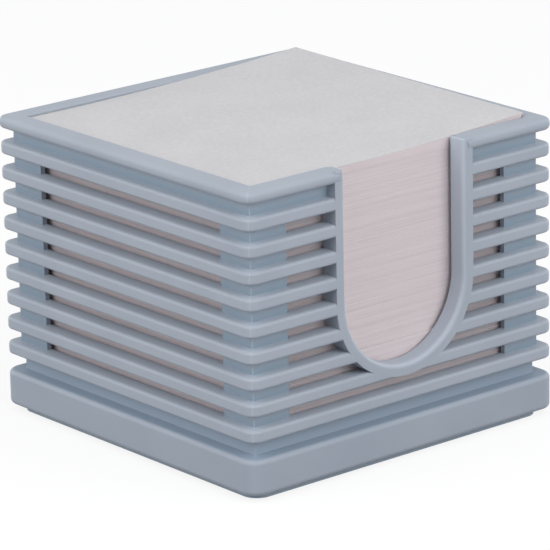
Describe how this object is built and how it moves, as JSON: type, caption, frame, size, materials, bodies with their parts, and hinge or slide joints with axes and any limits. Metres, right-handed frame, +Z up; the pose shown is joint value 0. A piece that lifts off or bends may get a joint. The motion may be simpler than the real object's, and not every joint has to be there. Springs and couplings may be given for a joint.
{
  "type": "memo holder",
  "caption": "Square ribbed plastic holder for loose memo paper, with a U-shaped finger notch in the front wall, long slots between its fins and a plinth base, filled with paper.",
  "frame": {"origin": "middle of the footprint, on the desk", "axes": "+Z up, the finger notch faces -Y, +X to the right as seen from the front"},
  "size_m": [0.103, 0.103, 0.082],
  "materials": {
    "holder_plastic": "satin light blue-grey",
    "memo_paper": "uncoated white"
  },
  "bodies": {
    "holder": {"ribbed_shell": "holder_plastic", "base_tray": "holder_plastic"},
    "lower_paper": {"paper_lower_pack": "memo_paper"},
    "middle_paper": {"paper_middle_pack": "memo_paper"},
    "thin_paper": {"paper_thin_pack": "memo_paper"},
    "upper_paper": {"paper_upper_pack": "memo_paper"},
    "curled_paper": {"paper_curled_pack": "memo_paper"},
    "loose_paper": {"top_sheets": "memo_paper"}
  },
  "joints": [
    {"name": "lift_lower_paper", "type": "slide", "parent": "holder", "child": "lower_paper", "axis": [0, 0, 1], "range_m": [0, 0.083]},
    {"name": "lift_middle_paper", "type": "slide", "parent": "lower_paper", "child": "middle_paper", "axis": [0, 0, 1], "range_m": [0, 0.056]},
    {"name": "lift_thin_paper", "type": "slide", "parent": "middle_paper", "child": "thin_paper", "axis": [0, 0, 1], "range_m": [0, 0.038]},
    {"name": "lift_upper_paper", "type": "slide", "parent": "thin_paper", "child": "upper_paper", "axis": [0, 0, 1], "range_m": [0, 0.033]},
    {"name": "lift_curled_paper", "type": "slide", "parent": "upper_paper", "child": "curled_paper", "axis": [0, 0, 1], "range_m": [0, 0.012]},
    {"name": "lift_top_sheets", "type": "slide", "parent": "curled_paper", "child": "loose_paper", "axis": [0, 0, 1], "range_m": [0, 0.03]}
  ]
}
